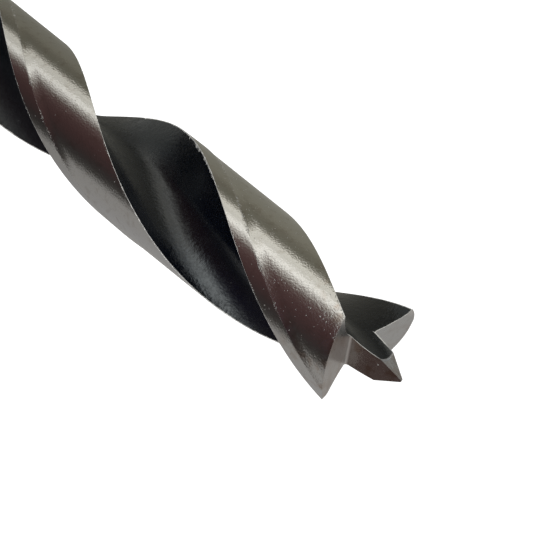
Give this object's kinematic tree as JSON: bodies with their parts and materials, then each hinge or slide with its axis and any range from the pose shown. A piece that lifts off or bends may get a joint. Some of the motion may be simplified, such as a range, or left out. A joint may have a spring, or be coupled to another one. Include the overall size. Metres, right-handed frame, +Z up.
{
  "type": "brad point drill bit",
  "caption": "One-piece twist drill bit for wood with a pointed centre brad, cutting spurs, spiral flutes and a round shank.",
  "frame": {"origin": "centre of the flat end of the shank, which the bit stands on", "axes": "+Z runs up the axis from the shank to the brad; +X lies along one lip at the height of the spurs"},
  "size_m": [0.01, 0.01, 0.133],
  "materials": {
    "tool_steel": "ground bright on lands, margins, point and shank; black oxide in the flutes"
  },
  "bodies": {
    "root": {"drill_bit": "tool_steel"}
  },
  "joints": []
}
